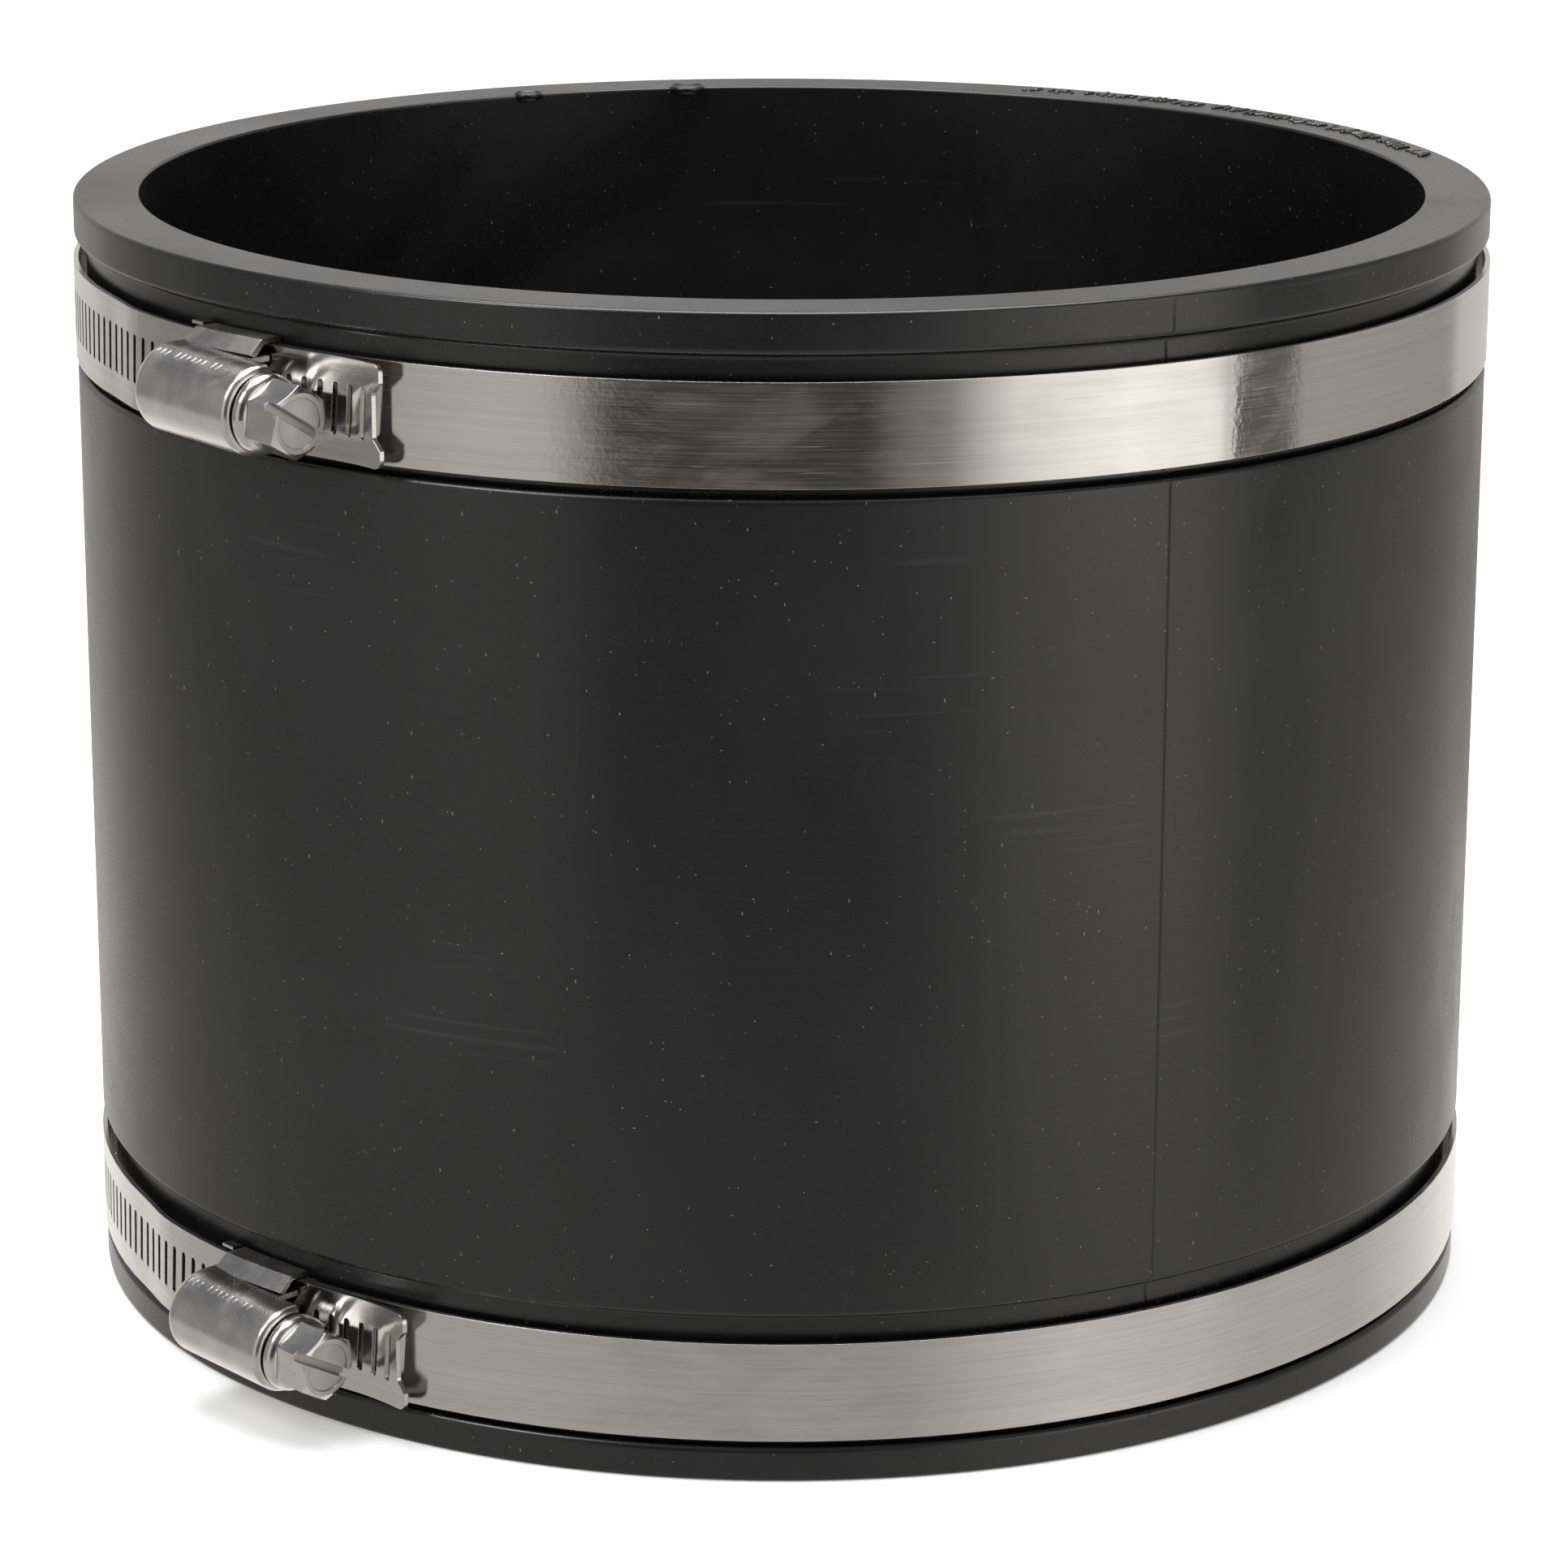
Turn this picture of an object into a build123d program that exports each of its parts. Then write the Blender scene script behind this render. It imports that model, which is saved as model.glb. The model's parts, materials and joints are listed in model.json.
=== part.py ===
from build123d import *
from math import cos, degrees, pi, radians, sin, tan
import os

# Flexible rubber pipe coupling with two worm-drive clamps.
# Frame: origin on the bore axis at mid-height, +Z up along the bore.
# Each clamp has a frame of its own: X out through its housing, Y along the strap
# towards the screw head, Z up.

# Sleeve
SLEEVE_R = 93.0
BORE_R = 84.45
SLEEVE_LENGTH = 146.0
UPPER_LIP_HEIGHT = 5.4
LOWER_LIP_HEIGHT = 4.5
GROOVE_WIDTH = 17.0
GROOVE_R = 91.4
END_ROUND = 0.5
STEP_ROUND = 0.7
MOUTH_CHAMFER = 0.8

# Strap: an inner turn on the sleeve and a slotted outer turn under the worm
STRAP_WIDTH = 12.7
STRAP_T = 0.65
STRAP_R = 92.55
TURN_GAP = 0.05
PLAIN_END_S = -9.0
RAMP_START_S = -34.0
RAMP_END_S = -23.5
TAIL_START_S = 12.5
TAIL_END_S = 23.3
TAIL_BEND_R = 38.0
TAIL_NOTCH_DEPTH = 1.5
TAIL_NOTCH_FLOOR = 5.4
TAIL_NOTCH_MOUTH = 8.2
TAIL_EAR_ROUND = 1.2
SLOT_LENGTH = 6.5
SLOT_WIDTH = 0.9
SLOT_FIRST = -37
SLOT_LAST = 8

# Worm screw
PITCH = 2.5
WORM_R = 4.75
WORM_CORE_R = 3.6
CORE_OVERLAP = 0.5
THREAD_ROOT = 0.9
THREAD_TIP = 0.36
THREAD_SINK = 0.15
THREAD_START = -6.25
THREAD_TURNS = 5
BITE = 0.45
SCREW_TILT = 2.0
SCREW_SKEW = 2.5
SCREW_DROP = 0.3
SCREW_TIP = -8.0
COLLAR_R = 4.95
COLLAR_START = 8.6
COLLAR_END = 10.4
COLLAR_BACK_ROUND = 0.35
COLLAR_FRONT_ROUND = 1.2
HEX_FLATS = 7.94
HEX_END = 15.5
HEX_CHAMFER_ANGLE = 30.0
HEX_FACE_R = 3.7
DISH_R = 3.1
DISH_DEPTH = 0.2
DRIVE_SLOT_WIDTH = 1.2
DRIVE_SLOT_DEPTH = 1.9

# Housing and saddle
HOOD_GAP = 0.15
HOOD_T = 0.7
HOOD_START = -9.8
HOOD_END = 8.3
HOOD_END_ROUND = 1.4
HOOD_END_TAPER = 0.9
MOUTH_ROUND = 0.9
MOUTH_LIP_R = 4.3
MOUTH_LIP_T = 0.8
MOUTH_CUT_START = 4.4
MOUTH_CUT_DROP = 1.2
SKIRT_GAP = 0.2
LEG_START_S = -7.75
LEG_END_S = 4.3
LEG_GAP = 0.1
LEG_T = 0.65
SHOULDER_R = 94.9
SHOULDER_TOP_R = 96.9
SHOULDER_SINK = 0.15
SHOULDER_IN_DROP = 0.35
SHOULDER_TOP_IN_DROP = 0.9
SHOULDER_TOP_INSET = 0.1
FOOT_R = 91.6
FOOT_HALF_INNER = 3.4
KNEE_ROUND = 0.6
SADDLE_R = 92.05
SADDLE_T = 0.4
SADDLE_START_S = -10.4
SADDLE_END_S = 6.0
SADDLE_HALF_WIDTH = 6.3
EAR_LENGTH = 2.2
EAR_TOP = 7.3
EAR_RISE = 1.6
EAR_OVERLAP = 1.0

# Clamps: name, direction of the housing, height, turn of the drive slot
CLAMPS = (
    ("upper", -133.6, 58.2, -32.0),
    ("lower", -133.0, -61.2, -29.0),
)

# Widest difference between lengths that are taken as equal
TOLERANCE = 0.02
END_TOLERANCE = 0.1

# Worked out
STRAP_OUT_R = STRAP_R + STRAP_T
OUTER_TURN_R = STRAP_OUT_R + TURN_GAP
OUTER_TURN_OUT_R = OUTER_TURN_R + STRAP_T
INNER_MID_R = STRAP_R + STRAP_T / 2
OUTER_MID_R = OUTER_TURN_R + STRAP_T / 2
SCREW_R = OUTER_TURN_OUT_R - BITE + WORM_R
SLOT_STEP = PITCH / (OUTER_TURN_OUT_R - BITE / 2)
SLOT_SLANT = degrees(PITCH / (2 * pi * WORM_R))
THREAD_LAG = (WORM_R - BITE / 2) * sin(radians(SCREW_TILT))
HOOD_IN_R = WORM_R + HOOD_GAP
HOOD_OUT_R = HOOD_IN_R + HOOD_T
LEG_IN_Z = STRAP_WIDTH / 2 + LEG_GAP
LEG_OUT_Z = LEG_IN_Z + LEG_T


def clamp_frame(direction, height):
    """Plane of one clamp: X points out through its housing."""
    out = (cos(radians(direction)), sin(radians(direction)), 0)
    return Plane(origin=(0, 0, height), x_dir=out, z_dir=(0, 0, 1))


def place(frame, origin, x_dir, z_dir):
    """Plane given in a clamp's own coordinates."""
    return Plane(
        origin=frame.from_local_coords(Vector(origin)),
        x_dir=frame.from_local_coords(Vector(x_dir)) - frame.origin,
        z_dir=frame.from_local_coords(Vector(z_dir)) - frame.origin,
    )


def screw_plane(frame, along):
    """Plane across the screw axis, a distance along it towards the head.

    The axis leans out from the strap and hangs a little low at the head.
    """
    lean = radians(SCREW_TILT)
    skew = radians(SCREW_SKEW)
    axis = Vector(sin(lean), cos(lean) * cos(skew), -cos(lean) * sin(skew))
    out = Vector(cos(lean), -sin(lean) * cos(skew), sin(lean) * sin(skew))
    origin = Vector(SCREW_R, 0, -SCREW_DROP) + axis * along
    return place(frame, origin, out, axis)


def lengthwise_plane(frame):
    """Plane holding the screw axis, which is its Y."""
    middle = screw_plane(frame, 0)
    across = middle.x_dir.cross(middle.z_dir)
    return Plane(origin=middle.origin, x_dir=middle.x_dir, z_dir=across)


def turn_plane(frame, arc_length):
    """Plane holding the clamp axis, turned to an arc length along the strap."""
    angle = arc_length / INNER_MID_R
    out = (cos(angle), sin(angle), 0)
    return place(frame, (0, 0, 0), out, (sin(angle), -cos(angle), 0))


def arc_degrees(arc_length):
    """Angle about the clamp axis of an arc length along the strap."""
    return degrees(arc_length / INNER_MID_R)


def make_sleeve():
    """Moulded rubber sleeve: a tube with a groove for a strap near each end."""
    half = SLEEVE_LENGTH / 2
    upper_ledge = half - UPPER_LIP_HEIGHT
    upper_shoulder = upper_ledge - GROOVE_WIDTH
    lower_ledge = LOWER_LIP_HEIGHT - half
    lower_shoulder = lower_ledge + GROOVE_WIDTH
    with BuildPart() as sleeve:
        with BuildSketch(Plane.XZ) as section:
            with BuildLine():
                Polyline(
                    (BORE_R, half),
                    (SLEEVE_R, half),
                    (SLEEVE_R, upper_ledge),
                    (GROOVE_R, upper_ledge),
                    (GROOVE_R, upper_shoulder),
                    (SLEEVE_R, upper_shoulder),
                    (SLEEVE_R, lower_shoulder),
                    (GROOVE_R, lower_shoulder),
                    (GROOVE_R, lower_ledge),
                    (SLEEVE_R, lower_ledge),
                    (SLEEVE_R, -half),
                    (BORE_R, -half),
                    close=True,
                )
            make_face()
            steps = section.vertices().filter_by(
                lambda v: v.X > GROOVE_R - 1 and abs(v.Y) < half - 1
            )
            fillet(steps, STEP_ROUND)
            rims = section.vertices().filter_by(
                lambda v: v.X > SLEEVE_R - 1 and abs(v.Y) > half - 1
            )
            fillet(rims, END_ROUND)
            mouths = section.vertices().filter_by(lambda v: v.X < BORE_R + 1)
            chamfer(mouths, MOUTH_CHAMFER)
        revolve(axis=Axis.Z)
    return sleeve.part


def make_band(frame):
    """Steel strap: a plain inner turn, a ramp, and a slotted outer turn with a raised tail."""
    plain_end = degrees(PLAIN_END_S / INNER_MID_R)
    ramp_start = 360 + degrees(RAMP_START_S / INNER_MID_R)
    ramp_end = degrees(RAMP_END_S / OUTER_MID_R)
    tail_start = degrees(TAIL_START_S / OUTER_MID_R)
    tail_turn = degrees((TAIL_END_S - TAIL_START_S) / TAIL_BEND_R)
    bend_centre_r = OUTER_MID_R + TAIL_BEND_R
    bend_centre = (
        bend_centre_r * cos(radians(tail_start)),
        bend_centre_r * sin(radians(tail_start)),
    )
    with BuildPart() as band:
        with BuildLine(frame) as route:
            inner = CenterArc((0, 0), INNER_MID_R, plain_end, ramp_start - plain_end)
            outer = CenterArc((0, 0), OUTER_MID_R, ramp_end, tail_start - ramp_end)
            Spline(inner @ 1, outer @ 0, tangents=(inner % 1, outer % 0))
            tail = CenterArc(bend_centre, TAIL_BEND_R, 180 + tail_start, -tail_turn)
        strap_line = route.wires()[0]
        start = inner @ 0
        with BuildSketch(Plane(origin=start, x_dir=(0, 0, 1), z_dir=inner % 0)):
            Rectangle(STRAP_WIDTH, STRAP_T)
        sweep(path=strap_line)

        # Slots, each square to the strap and slanted to the worm's lead
        under_worm = outer.position_at(-ramp_end / (tail_start - ramp_end))
        zero = strap_line.param_at_point(under_worm) * strap_line.length
        step = SLOT_STEP * OUTER_MID_R
        for number in range(SLOT_FIRST, SLOT_LAST + 1):
            reach = zero + number * step
            spot = strap_line.position_at(reach, position_mode=PositionMode.LENGTH)
            along = strap_line.tangent_at(reach, position_mode=PositionMode.LENGTH)
            facing = along.cross(Vector(0, 0, 1))
            with BuildSketch(Plane(origin=spot, x_dir=along, z_dir=facing)):
                SlotOverall(SLOT_LENGTH, SLOT_WIDTH, rotation=90 - SLOT_SLANT)
            extrude(amount=STRAP_T, both=True, mode=Mode.SUBTRACT)

        # Notched end of the tail, which leaves two ears
        end = tail @ 1
        heading = tail % 1
        facing = heading.cross(Vector(0, 0, 1))
        floor = TAIL_NOTCH_FLOOR / 2
        mouth = TAIL_NOTCH_MOUTH / 2
        with BuildSketch(Plane(origin=end, x_dir=heading, z_dir=facing)) as notch:
            with BuildLine():
                Polyline(
                    (-TAIL_NOTCH_DEPTH, -floor),
                    (-TAIL_NOTCH_DEPTH, floor),
                    (0, mouth),
                    (1, mouth),
                    (1, -mouth),
                    (0, -mouth),
                    close=True,
                )
            make_face()
            inside = notch.vertices().group_by(Axis.X)[0]
            fillet(inside, TAIL_NOTCH_DEPTH / 2)
        extrude(amount=2 * STRAP_T, both=True, mode=Mode.SUBTRACT)
        tips = band.edges().filter_by(lambda e: abs(e.length - STRAP_T) < TOLERANCE)
        ears = tips.filter_by(
            lambda e: abs((e.center() - end).length - STRAP_WIDTH / 2) < END_TOLERANCE
        )
        fillet(ears, TAIL_EAR_ROUND)
    return band.part


def draw_arch(radius):
    """Hood section in the current sketch: a circle with a skirt down past the strap."""
    Circle(radius)
    with Locations((-HOOD_OUT_R, 0)):
        Rectangle(2 * HOOD_OUT_R, 2 * radius)


def make_housing(frame):
    """Hood over the worm, with shoulders, legs and feet bent round the strap."""
    with BuildPart() as housing:
        # Outside of the hood: a closed tube end with straight skirts
        with BuildSketch(screw_plane(frame, HOOD_START)):
            draw_arch(HOOD_OUT_R)
        extrude(amount=HOOD_END - HOOD_START)
        ends = housing.faces().sort_by(Axis(frame.origin, frame.y_dir))
        closed_end = ends[0]
        mouth = ends[-1]
        fillet(closed_end.edges(), HOOD_END_ROUND)
        fillet(mouth.edges(), MOUTH_ROUND)
        # Room for the worm, tapered at the closed end and lipped at the mouth
        taper_end = HOOD_START + HOOD_T + HOOD_END_TAPER
        with BuildSketch(screw_plane(frame, taper_end)):
            draw_arch(HOOD_IN_R)
        extrude(amount=HOOD_END - MOUTH_LIP_T - taper_end, mode=Mode.SUBTRACT)
        with BuildSketch(screw_plane(frame, HOOD_START + HOOD_T)):
            draw_arch(HOOD_IN_R - HOOD_END_TAPER)
        with BuildSketch(screw_plane(frame, taper_end)):
            draw_arch(HOOD_IN_R)
        loft(mode=Mode.SUBTRACT)
        with BuildSketch(screw_plane(frame, HOOD_END)):
            draw_arch(MOUTH_LIP_R)
        extrude(amount=-2 * MOUTH_LIP_T, mode=Mode.SUBTRACT)
        # Lower edge, just clear of the strap
        with BuildSketch(frame.offset(-2 * STRAP_WIDTH)):
            Circle(OUTER_TURN_OUT_R + SKIRT_GAP)
        extrude(amount=4 * STRAP_WIDTH, mode=Mode.SUBTRACT)
        # The mouth stands clear of the strap, with no skirt in front of the legs
        with BuildSketch(screw_plane(frame, MOUTH_CUT_START)):
            with Locations((-MOUTH_CUT_DROP - HOOD_OUT_R, 0)):
                Rectangle(2 * HOOD_OUT_R, 4 * HOOD_OUT_R)
        extrude(amount=2 * (HOOD_END - MOUTH_CUT_START), mode=Mode.SUBTRACT)
        # Shoulders, legs and feet, bent round the strap edges
        top_in = SHOULDER_TOP_R - SHOULDER_TOP_IN_DROP
        for side in (1, -1):
            with BuildSketch(turn_plane(frame, LEG_START_S)) as leg:
                with BuildLine():
                    Polyline(
                        (SHOULDER_TOP_R, side * (HOOD_OUT_R - SHOULDER_SINK)),
                        (SHOULDER_R, side * LEG_OUT_Z),
                        (FOOT_R, side * LEG_OUT_Z),
                        (FOOT_R, side * FOOT_HALF_INNER),
                        (SADDLE_R, side * FOOT_HALF_INNER),
                        (SADDLE_R, side * LEG_IN_Z),
                        (SHOULDER_R - SHOULDER_IN_DROP, side * LEG_IN_Z),
                        (top_in, side * (HOOD_IN_R + SHOULDER_TOP_INSET)),
                        close=True,
                    )
                make_face()
                knees = leg.vertices().group_by(Axis.Y)[-1 if side > 0 else 0]
                fillet(knees, KNEE_ROUND)
            revolve(
                axis=Axis(frame.origin, frame.z_dir),
                revolution_arc=arc_degrees(LEG_END_S - LEG_START_S),
            )
    return housing.part


def make_saddle(frame):
    """Plate under the strap that the legs grip, with an ear at its upper edge."""
    with BuildPart() as saddle:
        with BuildSketch(turn_plane(frame, SADDLE_START_S)):
            with Locations((SADDLE_R + SADDLE_T / 2, 0)):
                Rectangle(SADDLE_T, 2 * SADDLE_HALF_WIDTH)
        revolve(
            axis=Axis(frame.origin, frame.z_dir),
            revolution_arc=arc_degrees(SADDLE_END_S - SADDLE_START_S),
        )
        # Ear at the tip end, turned up beside the strap
        with BuildSketch(turn_plane(frame, SADDLE_START_S)) as ear:
            with BuildLine():
                Polyline(
                    (SADDLE_R, SADDLE_HALF_WIDTH - EAR_OVERLAP),
                    (SADDLE_R, EAR_TOP),
                    (SADDLE_R + EAR_RISE, EAR_TOP),
                    (SADDLE_R + EAR_RISE, EAR_TOP - SADDLE_T),
                    (SADDLE_R + SADDLE_T, EAR_TOP - SADDLE_T),
                    (SADDLE_R + SADDLE_T, SADDLE_HALF_WIDTH - EAR_OVERLAP),
                    close=True,
                )
            make_face()
            bend = ear.vertices().group_by(Axis.Y)[-1].sort_by(Axis.X)[0]
            fillet(bend, SADDLE_T)
        revolve(
            axis=Axis(frame.origin, frame.z_dir),
            revolution_arc=arc_degrees(EAR_LENGTH),
        )
    return saddle.part


def make_screw(frame, slot_turn):
    """Worm screw: threaded core, collar, and a slotted hexagon head."""
    with BuildPart() as screw:
        # Core and worm thread
        with BuildSketch(screw_plane(frame, SCREW_TIP)):
            Circle(WORM_CORE_R)
        extrude(amount=COLLAR_START - SCREW_TIP + CORE_OVERLAP)
        start = screw_plane(frame, THREAD_START - THREAD_LAG)
        with BuildLine() as helix:
            Helix(pitch=PITCH, height=THREAD_TURNS * PITCH, radius=WORM_CORE_R)
        worm = start.location * helix.line
        with BuildSketch(Plane(origin=worm @ 0, x_dir=start.x_dir, z_dir=worm % 0)):
            with BuildLine():
                depth = WORM_R - WORM_CORE_R
                Polyline(
                    (-THREAD_SINK, -THREAD_ROOT / 2),
                    (depth, -THREAD_TIP / 2),
                    (depth, THREAD_TIP / 2),
                    (-THREAD_SINK, THREAD_ROOT / 2),
                    close=True,
                )
            make_face()
        sweep(path=worm, is_frenet=True)
        # Collar that bears on the hood's mouth
        with BuildSketch(screw_plane(frame, COLLAR_START)):
            Circle(COLLAR_R)
        extrude(amount=COLLAR_END - COLLAR_START)
        towards_head = Axis(frame.origin, screw_plane(frame, 0).z_dir)
        for end, rounding in ((0, COLLAR_BACK_ROUND), (-1, COLLAR_FRONT_ROUND)):
            rims = screw.edges().filter_by(
                lambda e: e.geom_type == GeomType.CIRCLE and abs(e.radius - COLLAR_R) < TOLERANCE
            )
            fillet(rims.sort_by(towards_head)[end], rounding)
        # Hexagon with a chamfered end
        with BuildSketch(screw_plane(frame, COLLAR_END)):
            RegularPolygon(HEX_FLATS / 2, 6, major_radius=False, rotation=slot_turn)
        extrude(amount=HEX_END - COLLAR_END)
        rise = tan(radians(HEX_CHAMFER_ANGLE))
        with BuildSketch(lengthwise_plane(frame)):
            with BuildLine():
                Polyline(
                    (HEX_FACE_R, HEX_END),
                    (HEX_FACE_R + HEX_FLATS, HEX_END),
                    (HEX_FACE_R + HEX_FLATS, HEX_END - HEX_FLATS * rise),
                    close=True,
                )
            make_face()
        middle = screw_plane(frame, 0)
        revolve(axis=Axis(middle.origin, middle.z_dir), mode=Mode.SUBTRACT)
        with BuildSketch(screw_plane(frame, HEX_END)):
            Circle(DISH_R)
        extrude(amount=-DISH_DEPTH, mode=Mode.SUBTRACT)
        with BuildSketch(screw_plane(frame, HEX_END)):
            Rectangle(2 * HEX_FLATS, DRIVE_SLOT_WIDTH, rotation=slot_turn)
        extrude(amount=-DRIVE_SLOT_DEPTH, mode=Mode.SUBTRACT)
    return screw.part


def save(name, solid):
    """Labels a solid and writes its STEP file."""
    solid.label = name
    export_step(solid, f"parts/{name}.step")


def main():
    os.makedirs("parts", exist_ok=True)
    save("sleeve", make_sleeve())
    for name, direction, height, slot_turn in CLAMPS:
        frame = clamp_frame(direction, height)
        save(f"{name}_band", make_band(frame))
        save(f"{name}_housing", make_housing(frame))
        save(f"{name}_saddle", make_saddle(frame))
        save(f"{name}_screw", make_screw(frame, slot_turn))


main()
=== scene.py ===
import json
import random
from math import cos, pi, radians, sin

import bmesh
import bpy
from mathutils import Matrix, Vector


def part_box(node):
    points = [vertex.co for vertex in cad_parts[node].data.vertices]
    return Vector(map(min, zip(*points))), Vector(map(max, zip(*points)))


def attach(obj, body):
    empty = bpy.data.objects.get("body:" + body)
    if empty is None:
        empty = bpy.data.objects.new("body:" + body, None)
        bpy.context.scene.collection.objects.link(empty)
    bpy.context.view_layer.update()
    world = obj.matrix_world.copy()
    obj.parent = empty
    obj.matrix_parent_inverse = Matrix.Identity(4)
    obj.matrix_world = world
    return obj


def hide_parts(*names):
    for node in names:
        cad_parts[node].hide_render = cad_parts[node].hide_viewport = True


# A flexible rubber pipe coupling with two worm-drive clamps, in metres, in the CAD frame:
# the origin is on the bore axis at mid-height and Z points up along the bore.

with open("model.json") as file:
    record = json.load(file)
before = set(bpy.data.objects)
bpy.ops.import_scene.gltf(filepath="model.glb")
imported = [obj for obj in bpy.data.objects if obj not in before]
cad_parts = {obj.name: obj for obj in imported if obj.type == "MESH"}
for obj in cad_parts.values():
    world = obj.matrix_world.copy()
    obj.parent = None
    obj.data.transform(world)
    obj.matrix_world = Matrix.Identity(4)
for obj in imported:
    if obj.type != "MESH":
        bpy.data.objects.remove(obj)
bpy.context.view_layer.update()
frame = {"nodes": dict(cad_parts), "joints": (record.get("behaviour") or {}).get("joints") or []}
random.seed(7)

MM = 0.001
SLEEVE_LOW, SLEEVE_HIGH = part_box("sleeve")
SLEEVE_R = SLEEVE_HIGH.x
HALF_LENGTH = SLEEVE_HIGH.z

# Sleeve profile. The rim's top face is let down by FACE_DROP, so that the marks that stand on it
# stay inside the CAD box. SUPPORT is how far beyond a rounding the flat is held by another row.
BORE_R = 84.45 * MM
GROOVE_R = 91.4 * MM
UPPER_LIP_HEIGHT = 5.4 * MM
LOWER_LIP_HEIGHT = 4.5 * MM
GROOVE_WIDTH = 17 * MM
END_ROUND = 0.5 * MM
STEP_ROUND = 0.7 * MM
MOUTH_ROUND = 0.35 * MM
FACE_DROP = 0.25 * MM
SUPPORT = 0.15 * MM
COLUMNS = 720

# Mould marks. Angles are directions about the Z axis in degrees, and each gate nub also has a
# radius.
PARTING_ANGLES = (-60.2, 119.8)
PARTING_HEIGHT = 0.07 * MM
PARTING_HALF_WIDTH = 0.09
RIM_MARK_R = 90.0 * MM
RIM_MARK_ARC = (14.0, 67.0)
GATE_NUBS = ((99.5, 2.6 * MM), (115.9, 2.1 * MM))
GATE_NUB_OFFSET = 0.4 * MM

# Marks on the hood of a worm housing: their distance from the screw's axis, their turn about it
# in degrees, and their places along it
HOOD_R = 5.6 * MM
HOOD_MARK_TURN = 62.0
HOOD_MARK_START = -8.2 * MM
HOOD_MARK_STEP = 1.0 * MM
HOOD_MARK_GROUPS = (3, 6, 2)
HOOD_MARK_GAP = 0.8 * HOOD_MARK_STEP
HOOD_MARK_WIDTH = 0.26 * MM
HOOD_MARK_RISE = 0.06 * MM
HOOD_MARK_SINK = 0.01 * MM

CLAMPS = ("upper", "lower")

# Colours, each pair from its darker to its lighter cloud
RUBBER_TONES = ((0.0050, 0.0050, 0.0056), (0.0085, 0.0085, 0.0090))
HAZE_COLOUR = (0.20, 0.19, 0.175)
SCUFF_COLOUR = (0.22, 0.22, 0.23)
DUST_COLOUR = (0.26, 0.23, 0.19)
STRAP_TONES = ((0.60, 0.58, 0.55), (0.675, 0.655, 0.625))
HOUSING_TONES = ((0.66, 0.645, 0.62), (0.78, 0.765, 0.74))
HOUSING_DINGS = (0.30, 0.27, 0.24)
SCREW_TONES = ((0.68, 0.665, 0.64), (0.80, 0.79, 0.765))
SCREW_FACE = (0.52, 0.51, 0.49)
SCREW_DINGS = (0.26, 0.24, 0.22)
# Painted shade: the colour the steel parts are darkened towards in corners and recesses
PAINTED_SHADE_COLOUR = (0.20, 0.185, 0.17)

# Surface details
EDGE_ROUND = 0.12 * MM
# How far from another surface the painted shade in corners reaches
PAINTED_SHADE_REACH = 0.9 * MM
RUBBER_GRAIN_DEPTH = 0.06 * MM
STRAP_GRAIN_DEPTH = 0.02 * MM
HOUSING_GRAIN_DEPTH = 0.02 * MM
SCREW_GRAIN_DEPTH = 0.03 * MM

# Patches of strap where the rolled skin is dimpled: the direction, and where each fades out
MOTTLED_PATCH = (-104.0, 2.5, 8.0)
DIMPLED_PATCH = (-51.0, 3.0, 4.2)

# Camera and floor
CAMERA_PLACE = (0, -0.7014, 0.1887)
CAMERA_PITCH = radians(15.83)
CAMERA_ROLL = radians(-0.13)
SENSOR_WIDTH_MM = 36.0
LENS_MM = 122.7
FLOOR_REACH = 6.0


# ---------------------------------------------------------------- node helpers


def add_node(tree, kind, inputs=(), **settings):
    """A shader node. An input given a socket is linked to it, and any other value is set."""
    made = tree.nodes.new(kind)
    for name, value in settings.items():
        setattr(made, name, value)
    for key, value in dict(inputs).items():
        if isinstance(value, bpy.types.NodeSocket):
            tree.links.new(value, made.inputs[key])
        else:
            made.inputs[key].default_value = value
    return made


def calc(tree, operation, *values):
    """A number worked out from one, two or three others."""
    made = add_node(tree, "ShaderNodeMath", dict(enumerate(values)), operation=operation)
    return made.outputs[0]


def add(tree, first, second):
    return calc(tree, "ADD", first, second)


def times(tree, first, second):
    return calc(tree, "MULTIPLY", first, second)


def spread(tree, value, low, high, to_low, to_high):
    """The value taken smoothly from one range to another, and held at its ends."""
    inputs = {0: value, 1: low, 2: high, 3: to_low, 4: to_high}
    made = add_node(tree, "ShaderNodeMapRange", inputs, interpolation_type="SMOOTHSTEP")
    return made.outputs[0]


def place_in(tree, scale=(1, 1, 1), turn=(0, 0, 0)):
    """Coordinates on the object, in metres, turned and stretched."""
    where = add_node(tree, "ShaderNodeTexCoord").outputs["Object"]
    inputs = {"Vector": where, "Scale": scale, "Rotation": turn}
    return add_node(tree, "ShaderNodeMapping", inputs).outputs[0]


def noise(tree, where, scale, detail=3.0, roughness=0.5, distortion=0.0):
    """A cloudy pattern between 0 and 1."""
    inputs = {
        "Vector": where,
        "Scale": scale,
        "Detail": detail,
        "Roughness": roughness,
        "Distortion": distortion,
    }
    return add_node(tree, "ShaderNodeTexNoise", inputs).outputs["Fac"]


def blend(tree, amount, first, second):
    """A colour between two others."""
    made = add_node(tree, "ShaderNodeMix", {"Factor": amount}, data_type="RGBA")
    for socket, value in zip((made.inputs[6], made.inputs[7]), (first, second)):
        if isinstance(value, bpy.types.NodeSocket):
            tree.links.new(value, socket)
        else:
            socket.default_value = (*value, 1)
    return made.outputs[2]


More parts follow.
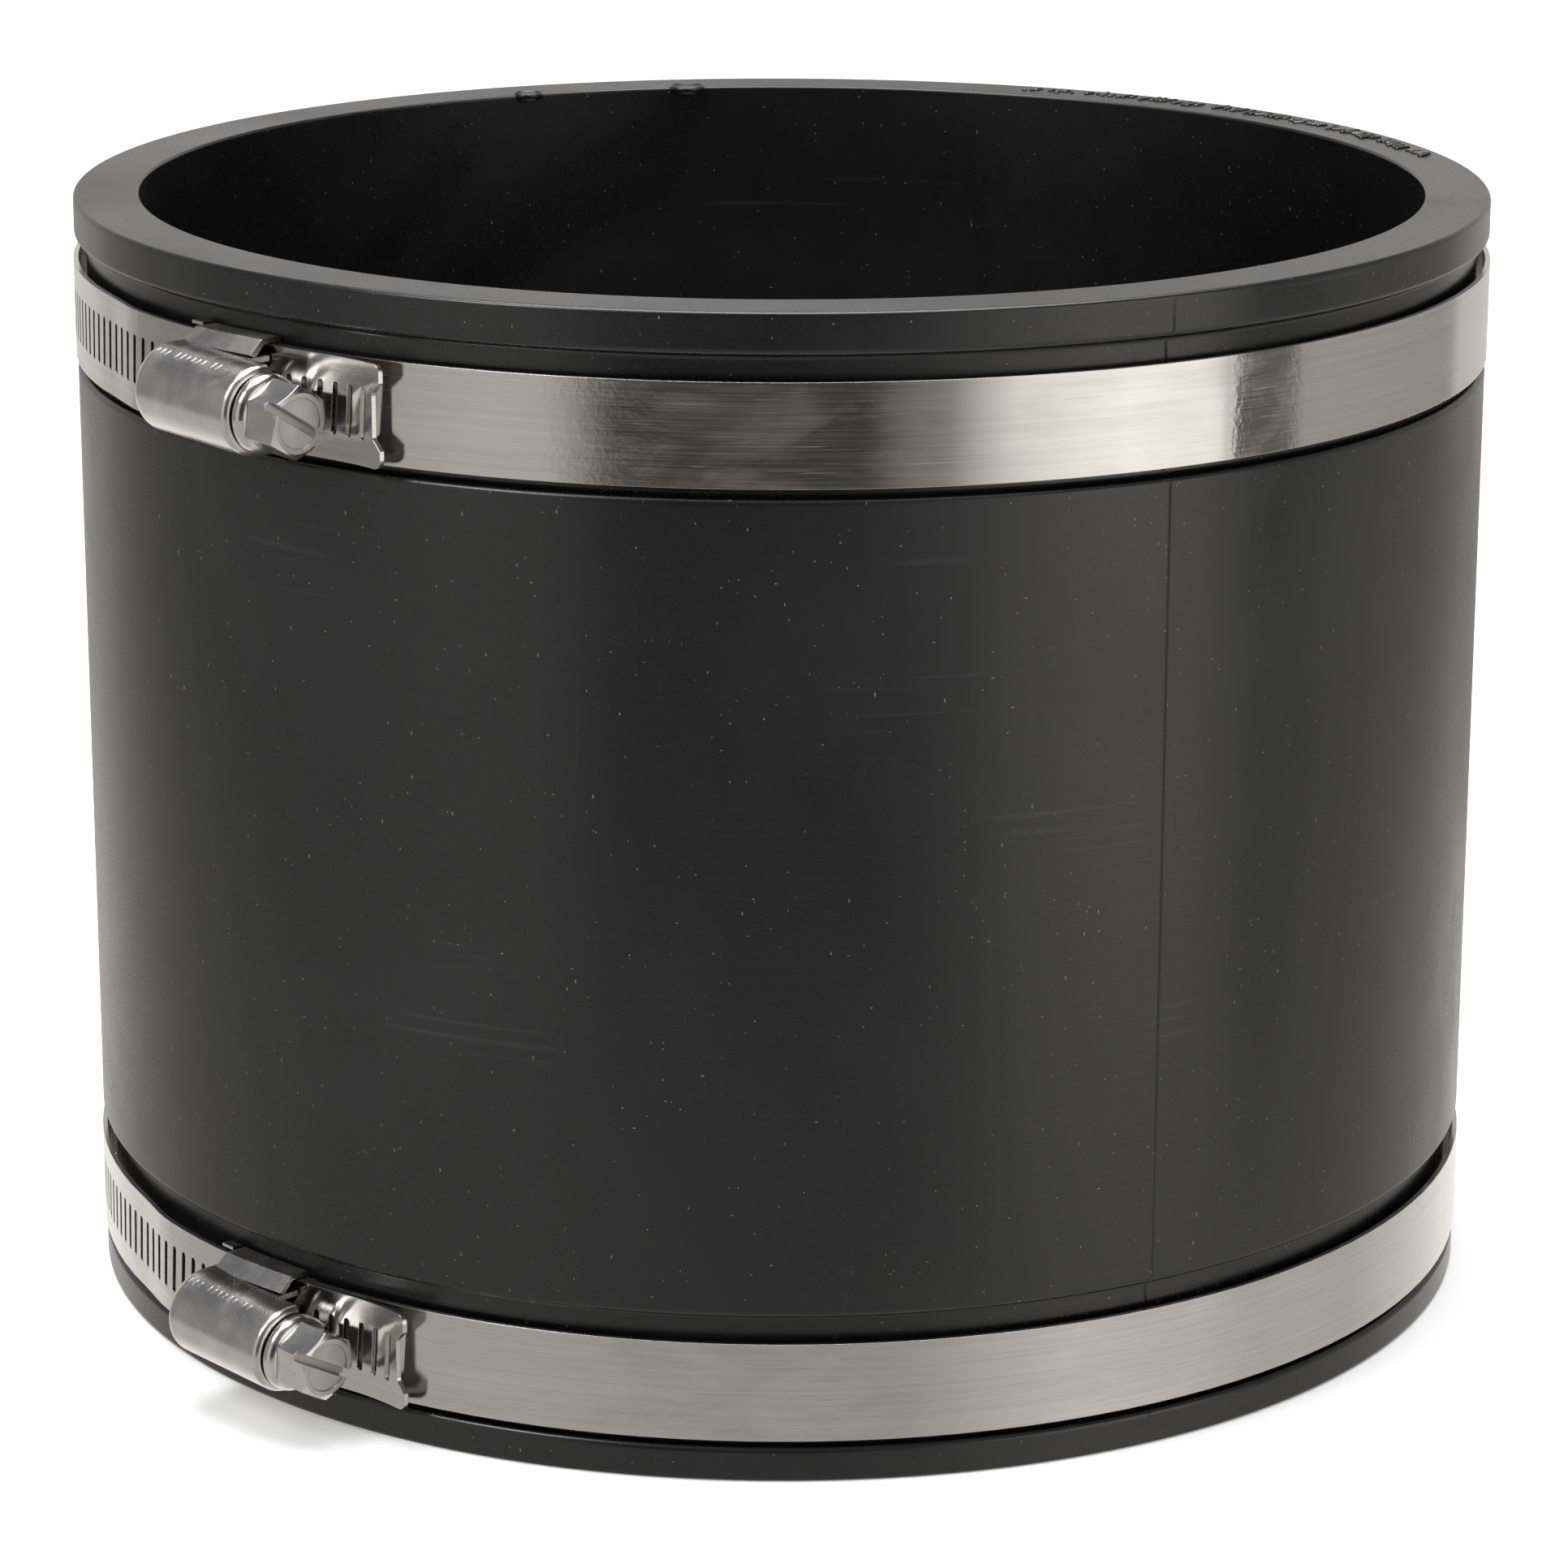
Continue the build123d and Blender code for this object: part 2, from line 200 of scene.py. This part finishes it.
def specks(tree, where, scale, share, size):
    """Small scattered grains: 1 inside a grain and 0 outside."""
    inputs = {"Vector": where, "Scale": scale}
    cells = add_node(tree, "ShaderNodeTexVoronoi", inputs)
    draw = add_node(tree, "ShaderNodeSeparateColor", {0: cells.outputs["Color"]}).outputs[0]
    radius = spread(tree, draw, 1 - share, 1.0, 0.0, size)
    edge = calc(tree, "SUBTRACT", radius, cells.outputs["Distance"])
    return spread(tree, edge, 0.0, size * 0.5, 0.0, 1.0)


def facing(tree, direction, inner, outer):
    """1 within an angle of a direction about the Z axis, fading to 0 at a wider one."""
    flat = place_in(tree, (1, 1, 0))
    unit = add_node(tree, "ShaderNodeVectorMath", {0: flat}, operation="NORMALIZE").outputs[0]
    aim = (cos(radians(direction)), sin(radians(direction)), 0)
    dot = add_node(tree, "ShaderNodeVectorMath", {0: unit, 1: aim}, operation="DOT_PRODUCT")
    return spread(tree, dot.outputs["Value"], cos(radians(outer)), cos(radians(inner)), 0, 1)


def start_material(name):
    """A material with its shader, ready for its inputs."""
    made = bpy.data.materials.new(name)
    made.use_nodes = True
    return made, made.node_tree, made.node_tree.nodes["Principled BSDF"]


def soften_edges(tree, radius):
    """A normal that rounds the sharp edges, so that they catch the light."""
    return add_node(tree, "ShaderNodeBevel", {"Radius": radius}, samples=4).outputs[0]


def shade_corners(tree, colour, shade_colour, reach):
    """The colour darkened towards a painted shade where another surface is close by: painted shade
    in corners and recesses.
    """
    inputs = {"Distance": reach}
    gap = add_node(tree, "ShaderNodeAmbientOcclusion", inputs, samples=6).outputs["AO"]
    return blend(tree, spread(tree, gap, 0.25, 0.85, 1, 0), colour, shade_colour)


def set_bump(tree, shader, height, strength, distance, normal=None):
    """Fine relief on a shader, over a normal of its own if one is given."""
    inputs = {"Height": height, "Strength": strength, "Distance": distance}
    if normal:
        inputs["Normal"] = normal
    bump = add_node(tree, "ShaderNodeBump", inputs)
    tree.links.new(bump.outputs[0], shader.inputs["Normal"])


# ------------------------------------------------------------------- materials


def make_rubber():
    """Satin black moulded rubber with dust, fibres, scuffs and faint lines round it."""
    made, tree, shader = start_material("black_rubber")
    cloud = noise(tree, place_in(tree), 16, 4, 0.6, 0.6)
    grain = noise(tree, place_in(tree), 2600, 2)
    lines = noise(tree, place_in(tree, (9, 9, 1400)), 1, 2)
    scuff_field = noise(tree, place_in(tree, (14, 14, 900), (0.05, 0.03, 0)), 1, 3)
    scuff_place = spread(tree, noise(tree, place_in(tree), 28, 2), 0.56, 0.70, 0, 1)
    scuff = times(tree, spread(tree, scuff_field, 0.60, 0.72, 0, 1), scuff_place)

    dust = specks(tree, place_in(tree), 1000, 0.5, 0.14)
    fine_dust = specks(tree, place_in(tree), 800, 0.10, 0.10)
    fibres = specks(tree, place_in(tree, (1, 1, 0.35), (0.9, 0.5, 0.3)), 1000, 0.3, 0.12)
    more_fibres = specks(tree, place_in(tree, (0.35, 1, 1), (0.4, -0.7, 0.9)), 1000, 0.3, 0.12)
    bits = calc(tree, "MAXIMUM", calc(tree, "MAXIMUM", dust, fibres), more_fibres)
    bits = times(tree, bits, 0.6)
    haze = times(tree, fine_dust, 0.12)

    body = blend(tree, spread(tree, cloud, 0.35, 0.7, 0, 1), *RUBBER_TONES)
    dusty = blend(tree, haze, body, HAZE_COLOUR)
    scuffed = blend(tree, times(tree, scuff, 0.06), dusty, SCUFF_COLOUR)
    colour = blend(tree, bits, scuffed, DUST_COLOUR)
    tree.links.new(colour, shader.inputs["Base Color"])

    rough = spread(tree, cloud, 0.3, 0.75, 0.24, 0.36)
    rough = add(tree, rough, spread(tree, grain, 0.3, 0.7, -0.03, 0.03))
    rough = add(tree, rough, times(tree, bits, 0.4))
    tree.links.new(rough, shader.inputs["Roughness"])
    shader.inputs["Specular IOR Level"].default_value = 0.68

    height = add(tree, times(tree, grain, 0.5), times(tree, lines, 0.5))
    height = add(tree, height, times(tree, bits, 1.2))
    set_bump(tree, shader, height, 0.17, RUBBER_GRAIN_DEPTH)
    return made


def make_strap_steel():
    """Rolled stainless strip, brushed along its length, with smudges and dimpled patches."""
    made, tree, shader = start_material("rolled_strap_steel")
    fine = noise(tree, place_in(tree, (60, 60, 11000)), 1, 2)
    broad = noise(tree, place_in(tree, (14, 14, 1500)), 1, 3, 0.6)
    smudge = noise(tree, place_in(tree, (1, 1, 2.2)), 70, 4, 0.6, 1.2)
    nicks_field = noise(tree, place_in(tree, (90, 90, 5200)), 1, 1)
    nicks = spread(tree, nicks_field, 0.70, 0.76, 0, 1)

    mottle = spread(tree, smudge, 0.38, 0.55, 0.3, 1)
    mottled = times(tree, facing(tree, *MOTTLED_PATCH), mottle)
    patches = calc(tree, "MAXIMUM", mottled, facing(tree, *DIMPLED_PATCH))
    dimples = noise(tree, place_in(tree, (1, 1, 0.8)), 1300, 2, 0.5, 0.4)

    tone = add(tree, times(tree, fine, 0.5), times(tree, broad, 0.5))
    colour = blend(tree, spread(tree, tone, 0.35, 0.65, 0, 1), *STRAP_TONES)
    # Painted shade: the colour is darkened in corners and recesses, where shade falls
    colour = shade_corners(tree, colour, PAINTED_SHADE_COLOUR, PAINTED_SHADE_REACH)
    tree.links.new(colour, shader.inputs["Base Color"])
    shader.inputs["Metallic"].default_value = 1.0
    shader.inputs["Anisotropic"].default_value = 0.55
    shader.inputs["Anisotropic Rotation"].default_value = 0.25
    tangent = add_node(tree, "ShaderNodeTangent", direction_type="RADIAL", axis="Z")
    tree.links.new(tangent.outputs[0], shader.inputs["Tangent"])

    rough = spread(tree, smudge, 0.35, 0.7, 0.11, 0.19)
    rough = add(tree, rough, spread(tree, fine, 0.3, 0.7, -0.02, 0.04))
    rough = add(tree, rough, times(tree, nicks, 0.15))
    tree.links.new(rough, shader.inputs["Roughness"])

    height = add(tree, times(tree, fine, 0.10), times(tree, broad, 0.10))
    height = add(tree, height, times(tree, nicks, 0.25))
    height = add(tree, height, times(tree, times(tree, dimples, patches), 4.0))
    set_bump(tree, shader, height, 0.2, STRAP_GRAIN_DEPTH, soften_edges(tree, EDGE_ROUND))
    return made


def make_housing_steel():
    """Bright pressed stainless with fine scratches, dings and drawn lines."""
    made, tree, shader = start_material("pressed_housing_steel")
    cloud = noise(tree, place_in(tree), 190, 4, 0.6, 0.8)
    scratch_a = noise(tree, place_in(tree, (1, 0.05, 1), (0.2, 0.5, 0.8)), 5200, 1)
    scratch_b = noise(tree, place_in(tree, (0.05, 1, 1), (0.7, 0.1, -0.6)), 5200, 1)
    scratches = calc(
        tree,
        "MAXIMUM",
        spread(tree, scratch_a, 0.70, 0.78, 0, 1),
        spread(tree, scratch_b, 0.70, 0.78, 0, 1),
    )
    dings = specks(tree, place_in(tree), 900, 0.15, 0.22)
    grain = noise(tree, place_in(tree), 4200, 2)

    clean = blend(tree, spread(tree, cloud, 0.35, 0.7, 0, 1), *HOUSING_TONES)
    colour = blend(tree, times(tree, dings, 0.35), clean, HOUSING_DINGS)
    # Painted shade: the colour is darkened in corners and recesses, where shade falls
    colour = shade_corners(tree, colour, PAINTED_SHADE_COLOUR, PAINTED_SHADE_REACH)
    tree.links.new(colour, shader.inputs["Base Color"])
    shader.inputs["Metallic"].default_value = 1.0

    rough = spread(tree, cloud, 0.3, 0.75, 0.20, 0.30)
    rough = add(tree, rough, times(tree, scratches, 0.12))
    tree.links.new(rough, shader.inputs["Roughness"])

    height = add(tree, times(tree, scratches, -0.3), times(tree, dings, -0.5))
    height = add(tree, height, times(tree, grain, 0.25))
    set_bump(tree, shader, height, 0.3, HOUSING_GRAIN_DEPTH, soften_edges(tree, EDGE_ROUND))
    return made


def make_screw_steel(name, axis):
    """Bright machined stainless. The face of the head, square to the axis, is matt and pitted."""
    made, tree, shader = start_material(name)
    normal = add_node(tree, "ShaderNodeTexCoord").outputs["Normal"]
    inputs = {0: normal, 1: tuple(axis)}
    dot = add_node(tree, "ShaderNodeVectorMath", inputs, operation="DOT_PRODUCT").outputs["Value"]
    face = spread(tree, dot, 0.95, 0.99, 0, 1)
    cloud = noise(tree, place_in(tree), 240, 4, 0.6, 0.5)
    pits = noise(tree, place_in(tree), 3400, 3, 0.6)
    dings = specks(tree, place_in(tree), 1100, 0.12, 0.22)

    clean = blend(tree, spread(tree, cloud, 0.35, 0.7, 0, 1), *SCREW_TONES)
    aged = blend(tree, times(tree, face, 0.4), clean, SCREW_FACE)
    colour = blend(tree, times(tree, dings, 0.4), aged, SCREW_DINGS)
    # Painted shade: the colour is darkened in corners and recesses, where shade falls
    colour = shade_corners(tree, colour, PAINTED_SHADE_COLOUR, PAINTED_SHADE_REACH)
    tree.links.new(colour, shader.inputs["Base Color"])
    shader.inputs["Metallic"].default_value = 1.0

    rough = spread(tree, cloud, 0.3, 0.75, 0.16, 0.25)
    rough = add(tree, rough, times(tree, face, 0.22))
    tree.links.new(rough, shader.inputs["Roughness"])

    depth = add(tree, 0.15, times(tree, face, 1.1))
    height = add(tree, times(tree, pits, depth), times(tree, dings, -0.4))
    set_bump(tree, shader, height, 0.4, SCREW_GRAIN_DEPTH, soften_edges(tree, EDGE_ROUND))
    return made


# ---------------------------------------------------------------- mesh helpers


def finish_mesh(name, maker, material, sharp_angle=50.0):
    """An object from a bmesh, smooth but for its sharp edges."""
    bmesh.ops.recalc_face_normals(maker, faces=maker.faces)
    mesh = bpy.data.meshes.new(name)
    maker.to_mesh(mesh)
    maker.free()
    mesh.shade_smooth()
    mesh.set_sharp_from_angle(angle=radians(sharp_angle))
    mesh.materials.append(material)
    made = bpy.data.objects.new(name, mesh)
    bpy.context.scene.collection.objects.link(made)
    return made


def rounded_outline(corners, arc_steps=6):
    """Closed outline of (radius, height, rounding) corners, with points beside each rounding."""
    outline = []
    for index, (r, z, rounding) in enumerate(corners):
        here = Vector((r, z))
        before = (Vector(corners[index - 1][:2]) - here).normalized()
        after = (Vector(corners[(index + 1) % len(corners)][:2]) - here).normalized()
        centre = here + (before + after) * rounding
        outline.append(here + before * (rounding + SUPPORT))
        for step in range(arc_steps + 1):
            turn = step / arc_steps * pi / 2
            outline.append(centre - after * rounding * cos(turn) - before * rounding * sin(turn))
        outline.append(here + after * (rounding + SUPPORT))
    return outline


def parting_rise(angle):
    """Height of the parting line at an angle round the sleeve."""
    for line in PARTING_ANGLES:
        if abs(angle - line) < PARTING_HALF_WIDTH / 2:
            return PARTING_HEIGHT
    return 0.0


def sleeve_angles():
    """Directions of the sleeve's columns, with three close together at each parting line."""
    angles = {round(-180 + 360 * column / COLUMNS, 6) for column in range(COLUMNS)}
    for line in PARTING_ANGLES:
        angles |= {line - PARTING_HALF_WIDTH, line, line + PARTING_HALF_WIDTH}
    return sorted(angles)


def make_sleeve(rubber):
    """The moulded sleeve, with its parting lines on the outside."""
    top = HALF_LENGTH - FACE_DROP
    upper_ledge = HALF_LENGTH - UPPER_LIP_HEIGHT
    upper_shoulder = upper_ledge - GROOVE_WIDTH
    lower_ledge = LOWER_LIP_HEIGHT - HALF_LENGTH
    lower_shoulder = lower_ledge + GROOVE_WIDTH
    corners = (
        (BORE_R, top, MOUTH_ROUND),
        (SLEEVE_R, top, END_ROUND),
        (SLEEVE_R, upper_ledge, STEP_ROUND),
        (GROOVE_R, upper_ledge, STEP_ROUND),
        (GROOVE_R, upper_shoulder, STEP_ROUND),
        (SLEEVE_R, upper_shoulder, STEP_ROUND),
        (SLEEVE_R, lower_shoulder, STEP_ROUND),
        (GROOVE_R, lower_shoulder, STEP_ROUND),
        (GROOVE_R, lower_ledge, STEP_ROUND),
        (SLEEVE_R, lower_ledge, STEP_ROUND),
        (SLEEVE_R, -HALF_LENGTH, END_ROUND),
        (BORE_R, -HALF_LENGTH, MOUTH_ROUND),
    )
    outline = rounded_outline(corners)
    outside = GROOVE_R - STEP_ROUND
    maker = bmesh.new()
    rings = []
    for angle in sleeve_angles():
        rise = parting_rise(angle)
        turn = radians(angle)
        ring = []
        for r, z in outline:
            reach = r + (rise if r > outside and abs(z) < top - END_ROUND else 0)
            ring.append(maker.verts.new((reach * cos(turn), reach * sin(turn), z)))
        rings.append(ring)
    for index, ring in enumerate(rings):
        beside = rings[(index + 1) % len(rings)]
        for step in range(len(outline)):
            up = (step + 1) % len(outline)
            maker.faces.new((ring[step], beside[step], beside[up], ring[up]))
    return finish_mesh("sleeve_moulding", maker, rubber)


def add_bar(maker, centre, along, across, out, length, width, height):
    """A small bar with a bevelled top, sunk a little into the surface it stands on."""
    levels = ((1.0, -height), (1.0, height * 0.45), (0.62, height))
    rings = []
    for share, rise in levels:
        trim = width / 2 * (1 - share)
        half_long, half_wide = length / 2 - trim, width / 2 - trim
        cut = half_wide * 0.5
        shape = (
            (half_long, half_wide - cut),
            (half_long - cut, half_wide),
            (cut - half_long, half_wide),
            (-half_long, half_wide - cut),
            (-half_long, cut - half_wide),
            (cut - half_long, -half_wide),
            (half_long - cut, -half_wide),
            (half_long, cut - half_wide),
        )
        rings.append(
            [maker.verts.new(centre + along * a + across * b + out * rise) for a, b in shape]
        )
    for lower, upper in zip(rings, rings[1:]):
        for index in range(len(lower)):
            beside = (index + 1) % len(lower)
            maker.faces.new((lower[index], lower[beside], upper[beside], upper[index]))
    maker.faces.new(rings[-1])
    maker.faces.new(list(reversed(rings[0])))


def make_rim_marks(rubber):
    """Generic raised moulding marks, short bars in groups, on the top face of the rim."""
    maker = bmesh.new()
    up = Vector((0, 0, 1))
    angle, last_angle = RIM_MARK_ARC
    while angle < last_angle:
        for _ in range(random.randint(3, 7)):
            turn = radians(angle)
            out = Vector((cos(turn), sin(turn), 0))
            side = up.cross(out)
            lean = random.uniform(-0.5, 0.5)
            along = (out + side * lean).normalized()
            across = up.cross(along)
            reach = RIM_MARK_R + random.uniform(-0.5, 0.5) * MM
            centre = out * reach + up * (HALF_LENGTH - FACE_DROP)
            length = random.uniform(1.6, 3.4) * MM
            width = random.uniform(0.5, 0.8) * MM
            add_bar(maker, centre, along, across, up, length, width, FACE_DROP)
            angle += random.uniform(0.6, 0.85)
        angle += random.uniform(0.4, 1.2)
    return finish_mesh("rim_marks", maker, rubber, 30.0)


def make_gate_nub(name, direction, radius, rubber):
    """A dished disc at the inner edge of the rim, where the mould was filled."""
    face = HALF_LENGTH - FACE_DROP
    rise = FACE_DROP
    section = (
        (0.0, face + rise * 0.3),
        (radius * 0.5, face + rise * 0.25),
        (radius * 0.80, face + rise * 0.15),
        (radius * 0.87, face + rise * 0.9),
        (radius * 0.91, face + rise),
        (radius * 0.96, face + rise * 0.8),
        (radius, face + rise * 0.2),
        (radius, face - rise * 1.5),
        (radius * 0.9, face - rise * 3),
        (radius * 0.5, face - rise * 4),
        (0.0, face - rise * 4.5),
    )
    segments = 64
    turn = radians(direction)
    middle = Vector((cos(turn), sin(turn), 0)) * (BORE_R + GATE_NUB_OFFSET)
    maker = bmesh.new()
    rings = []
    for r, z in section:
        count = segments if r > 0 else 1
        steps = [2 * pi * step / segments for step in range(count)]
        rings.append([maker.verts.new(middle + Vector((r * cos(a), r * sin(a), z))) for a in steps])
    for first, second in zip(rings, rings[1:]):
        for step in range(segments):
            beside = (step + 1) % segments
            if len(first) == 1:
                maker.faces.new((first[0], second[step], second[beside]))
            elif len(second) == 1:
                maker.faces.new((first[step], second[0], first[beside]))
            else:
                maker.faces.new((first[step], second[step], second[beside], first[beside]))
    return finish_mesh(name, maker, rubber, 60.0)


def screw_axis(side):
    """A point on a screw's axis and the direction of the axis towards the head."""
    joint = next(j for j in frame["joints"] if j["name"] == side + "_screw_turn")
    axis = Vector(joint["axis"]).normalized()
    outward = Vector(joint["pos_m"]) * Vector((1, 1, 0))
    head = Vector((-outward.y, outward.x, 0))
    return Vector(joint["pos_m"]), axis if axis.dot(head) > 0 else -axis


def make_hood_marks(side, steel):
    """Generic pressed marks, slanted bars in groups, on the shoulder of a hood."""
    origin, axis = screw_axis(side)
    level = (origin * Vector((1, 1, 0))).normalized()
    level = (level - axis * level.dot(axis)).normalized()
    up = level.cross(axis)
    if up.z < 0:
        up = -up
    turn = radians(HOOD_MARK_TURN)
    out = level * cos(turn) + up * sin(turn)
    across = out.cross(axis)
    maker = bmesh.new()
    place = HOOD_MARK_START
    for group in HOOD_MARK_GROUPS:
        for _ in range(group):
            lean = random.uniform(0.1, 0.35)
            along = (across + axis * lean).normalized()
            centre = origin + axis * place + out * (HOOD_R - HOOD_MARK_SINK)
            length = random.uniform(0.9, 1.2) * MM
            side_on = out.cross(along)
            add_bar(maker, centre, along, side_on, out, length, HOOD_MARK_WIDTH, HOOD_MARK_RISE)
            place += HOOD_MARK_STEP
        place += HOOD_MARK_GAP
    return finish_mesh(side + "_hood_marks", maker, steel, 30.0)


# ----------------------------------------------------------------------- stage


def make_floor():
    """A pale matt floor that stays pale far from the lamps."""
    maker = bmesh.new()
    signs = ((-1, -1), (1, -1), (1, 1), (-1, 1))
    corners = [(x * FLOOR_REACH, y * FLOOR_REACH, SLEEVE_LOW.z) for x, y in signs]
    maker.faces.new([maker.verts.new(corner) for corner in corners])
    made, tree, shader = start_material("pale_floor")
    shader.inputs["Base Color"].default_value = (0.92, 0.92, 0.92, 1)
    shader.inputs["Roughness"].default_value = 0.9
    shader.inputs["Specular IOR Level"].default_value = 0.1
    shader.inputs["Emission Color"].default_value = (1, 1, 1, 1)
    away = add_node(tree, "ShaderNodeVectorMath", {0: place_in(tree)}, operation="LENGTH")
    glow = spread(tree, away.outputs["Value"], 1.0, 2.5, 0.3, 1.0)
    tree.links.new(glow, shader.inputs["Emission Strength"])
    floor = finish_mesh("studio_floor", maker, made)
    floor.visible_glossy = False


# How bright the studio is at each direction about the object: AROUND at the object's height, and
# TABLE below it. 0 is towards the front and 90 is towards the right.
AROUND = (
    (-180, 0.70),
    (-146, 0.70),
    (-132, 0.46),
    (-116, 0.30),
    (-72, 0.26),
    (-64, 0.50),
    (-46, 0.62),
    (-36, 0.58),
    (-26, 0.05),
    (14, 0.04),
    (20, 0.20),
    (26, 0.28),
    (37, 1.06),
    (56, 1.46),
    (74, 1.30),
    (76, 0.12),
    (88, 0.14),
    (90, 0.46),
    (136, 0.38),
    (140, 0.66),
)
TABLE = ((-150, 1.0), (-112, 0.52), (-20, 0.50), (20, 0.46), (50, 0.70), (110, 0.56), (150, 1.0))
CEILING_LIGHT = (0.17, 0.17, 0.18)
STUDIO_TINT = (1, 0.975, 0.94)

# Heights above the horizon, in degrees, where the table gives way to the panels and these to
# the ceiling
TABLE_EDGE = (-18, -14.5)
CEILING_EDGE = (12, 40)


def bright_ring(tree, share, stops):
    """Light from each direction round the object, as a colour ramp."""
    ramp = add_node(tree, "ShaderNodeValToRGB", {"Fac": share})
    elements = ramp.color_ramp.elements
    while len(elements) < len(stops):
        elements.new(1.0)
    for element, (angle, light) in zip(elements, stops):
        element.position = (angle + 180) / 360
        element.color = (*(light * part for part in STUDIO_TINT), 1)
    return ramp.outputs[0]


def make_world():
    """Soft studio light: pale panels and dark gaps round the object, over a pale table."""
    world = bpy.data.worlds.new("studio")
    world.use_nodes = True
    tree = world.node_tree
    tree.nodes.clear()
    aim = add_node(tree, "ShaderNodeTexCoord").outputs["Generated"]
    parts = add_node(tree, "ShaderNodeSeparateXYZ", {0: aim}).outputs
    forward = times(tree, parts["Y"], -1.0)
    azimuth = calc(tree, "ARCTAN2", parts["X"], forward)
    share = add(tree, calc(tree, "DIVIDE", azimuth, 2 * pi), 0.5)
    low = spread(tree, parts["Z"], *(sin(radians(edge)) for edge in TABLE_EDGE), 0, 1)
    high = spread(tree, parts["Z"], *(sin(radians(edge)) for edge in CEILING_EDGE), 0, 1)
    colour = blend(tree, low, bright_ring(tree, share, TABLE), bright_ring(tree, share, AROUND))
    colour = blend(tree, high, colour, CEILING_LIGHT)
    seen = add_node(tree, "ShaderNodeLightPath").outputs["Is Camera Ray"]
    colour = blend(tree, seen, colour, (1, 1, 1))
    background = add_node(tree, "ShaderNodeBackground", {"Color": colour})
    output = add_node(tree, "ShaderNodeOutputWorld")
    tree.links.new(background.outputs[0], output.inputs[0])
    bpy.context.scene.world = world


def add_softbox(name, place, size, power):
    """A soft lamp aimed at the object, which the camera can't see."""
    lamp = bpy.data.lights.new(name, "AREA")
    lamp.shape = "RECTANGLE"
    lamp.size, lamp.size_y = size
    lamp.energy = power
    holder = bpy.data.objects.new(name, lamp)
    bpy.context.scene.collection.objects.link(holder)
    holder.location = place
    holder.rotation_euler = (-Vector(place)).to_track_quat("-Z", "Y").to_euler()
    holder.visible_camera = False


def make_lights():
    add_softbox("overhead_softbox", (0.0, 0.15, 1.5), (1.4, 1.4), 36)
    add_softbox("left_softbox", (-0.75, -0.55, 0.85), (0.45, 0.45), 5)


def make_camera():
    """The camera stands in front of the object and looks down on it."""
    lens = bpy.data.cameras.new("camera")
    lens.sensor_width = SENSOR_WIDTH_MM
    lens.lens = LENS_MM
    holder = bpy.data.objects.new("camera", lens)
    holder.location = CAMERA_PLACE
    holder.rotation_euler = (pi / 2 - CAMERA_PITCH, CAMERA_ROLL, 0)
    bpy.context.scene.collection.objects.link(holder)
    bpy.context.scene.camera = holder


# -------------------------------------------------------------------- assembly


def give(node, material):
    """A CAD node takes a material in all its slots."""
    slots = frame["nodes"][node].data.materials
    for index in range(len(slots)):
        slots[index] = material


rubber = make_rubber()
strap_steel = make_strap_steel()
housing_steel = make_housing_steel()

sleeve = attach(make_sleeve(rubber), "sleeve_body")
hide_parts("sleeve")
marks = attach(make_rim_marks(rubber), "sleeve_body")
for number, (direction, radius) in enumerate(GATE_NUBS):
    nub = make_gate_nub("gate_nub_" + str(number), direction, radius, rubber)
    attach(nub, "sleeve_body")

for side in CLAMPS:
    give(side + "_band", strap_steel)
    give(side + "_saddle", strap_steel)
    give(side + "_housing", housing_steel)
    give(side + "_screw", make_screw_steel(side + "_screw_steel", screw_axis(side)[1]))
    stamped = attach(make_hood_marks(side, housing_steel), side + "_clamp")

make_floor()
make_world()
make_lights()
make_camera()
bpy.context.scene.view_settings.view_transform = "Standard"
